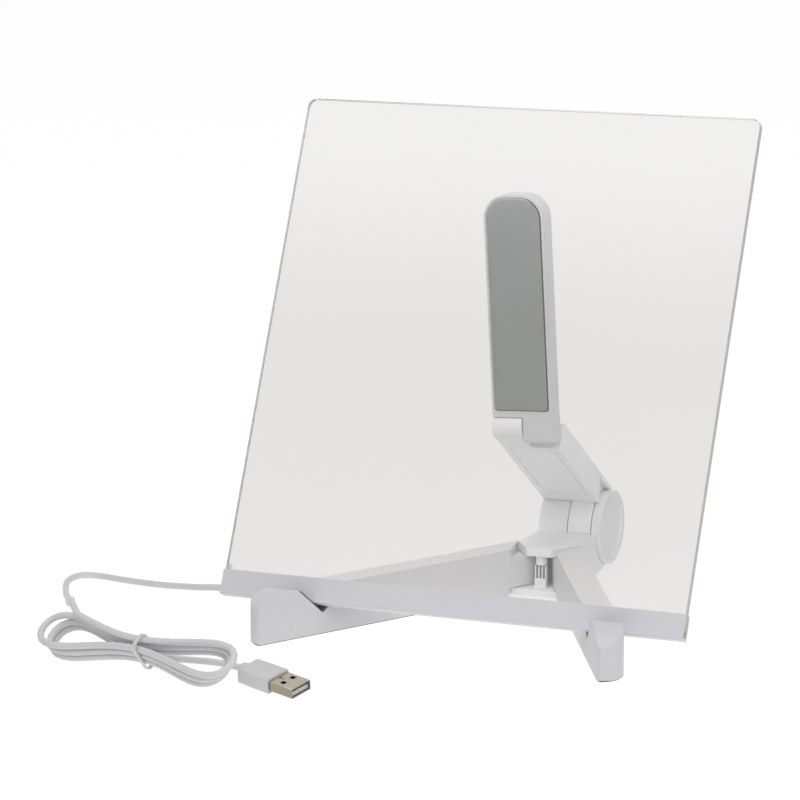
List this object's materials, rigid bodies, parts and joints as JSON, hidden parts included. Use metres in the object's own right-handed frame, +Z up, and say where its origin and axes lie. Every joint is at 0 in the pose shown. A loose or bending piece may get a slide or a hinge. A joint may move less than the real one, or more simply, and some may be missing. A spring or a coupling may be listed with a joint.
{
  "type": "led writing board",
  "caption": "Clear edge-lit writing sheet in a slim white light channel with a thin cord and plug, standing on a folding easel with two swinging legs and a two-part jointed arm.",
  "frame": {"origin": "middle of the footprint of the board and its stand on the table, with the cord left out", "axes": "+X to the viewer's right, +Y to the back, +Z up; the writing face looks towards -Y"},
  "size_m": [0.3259, 0.3048, 0.2307],
  "materials": {
    "clear_acrylic": "clear polished acrylic",
    "white_channel": "satin white plastic extrusion",
    "light_strip": "white circuit board with small lights",
    "grey_plastic": "fine matt light grey plastic",
    "arm_pad": "soft mid grey foam rubber",
    "dark_rubber": "matt dark grey rubber",
    "steel": "plain steel, inside the joints",
    "grey_cord": "satin grey flexible plastic",
    "cord_tie": "satin plastic tie",
    "plated_shell": "warm plated pressed steel",
    "plug_tongue": "white plastic tongue with contacts"
  },
  "bodies": {
    "hub": {"hub_body": "grey_plastic", "hub_base_plate": "grey_plastic", "hub_foot_pad": "dark_rubber", "left_leg_pin": "steel", "right_leg_pin": "steel", "knuckle_axle": "steel"},
    "left_leg": {"left_leg": "grey_plastic", "left_notch_lining": "dark_rubber", "left_sole": "dark_rubber"},
    "right_leg": {"right_leg": "grey_plastic", "right_notch_lining": "dark_rubber", "right_sole": "dark_rubber"},
    "lower_arm": {"lower_arm_shell": "grey_plastic", "lower_arm_cover": "grey_plastic", "knuckle_cap": "grey_plastic", "knuckle_friction_ring": "steel", "elbow_pin": "steel"},
    "upper_arm": {"upper_arm_shell": "grey_plastic", "upper_arm_cover": "grey_plastic", "arm_pad": "arm_pad", "elbow_friction_ring": "steel"},
    "board": {"acrylic_sheet": "clear_acrylic", "light_channel": "white_channel", "light_strip": "light_strip", "wire_terminal": "light_strip", "cord_lead": "grey_cord", "cord_hank": "grey_cord", "cord_tie": "cord_tie", "plug_overmould": "grey_cord", "plug_shell": "plated_shell", "plug_tongue": "plug_tongue"}
  },
  "joints": [
    {"name": "board_lift", "type": "slide", "parent": "hub", "child": "board", "axis": [0, -0.7071, 0.7071], "range_m": [0, 0.25]},
    {"name": "left_leg_swing", "type": "hinge", "parent": "hub", "child": "left_leg", "pos_m": [-0.0073, 0.04341, 0.0112], "axis": [0, 0, 1], "range_deg": [0, 27.3]},
    {"name": "right_leg_swing", "type": "hinge", "parent": "hub", "child": "right_leg", "pos_m": [0.0119, 0.04341, 0.0112], "axis": [0, 0, 1], "range_deg": [-27.3, 0]},
    {"name": "knuckle_fold", "type": "hinge", "parent": "hub", "child": "lower_arm", "pos_m": [0.0023, 0.08851, 0.0227], "axis": [1, 0, 0], "range_deg": [0, 33.2]},
    {"name": "elbow_fold", "type": "hinge", "parent": "lower_arm", "child": "upper_arm", "pos_m": [0.0023, 0.01612, 0.08375], "axis": [0.9989, 0, 0.0471], "range_deg": [0, 55.84]}
  ],
  "couplings": [
    {"joint": "left_leg_swing", "follows": "board_lift", "rad_per_m": 1.9059},
    {"joint": "right_leg_swing", "follows": "board_lift", "rad_per_m": -1.9059},
    {"joint": "knuckle_fold", "follows": "board_lift", "rad_per_m": 2.3178},
    {"joint": "elbow_fold", "follows": "board_lift", "rad_per_m": 3.8982}
  ]
}
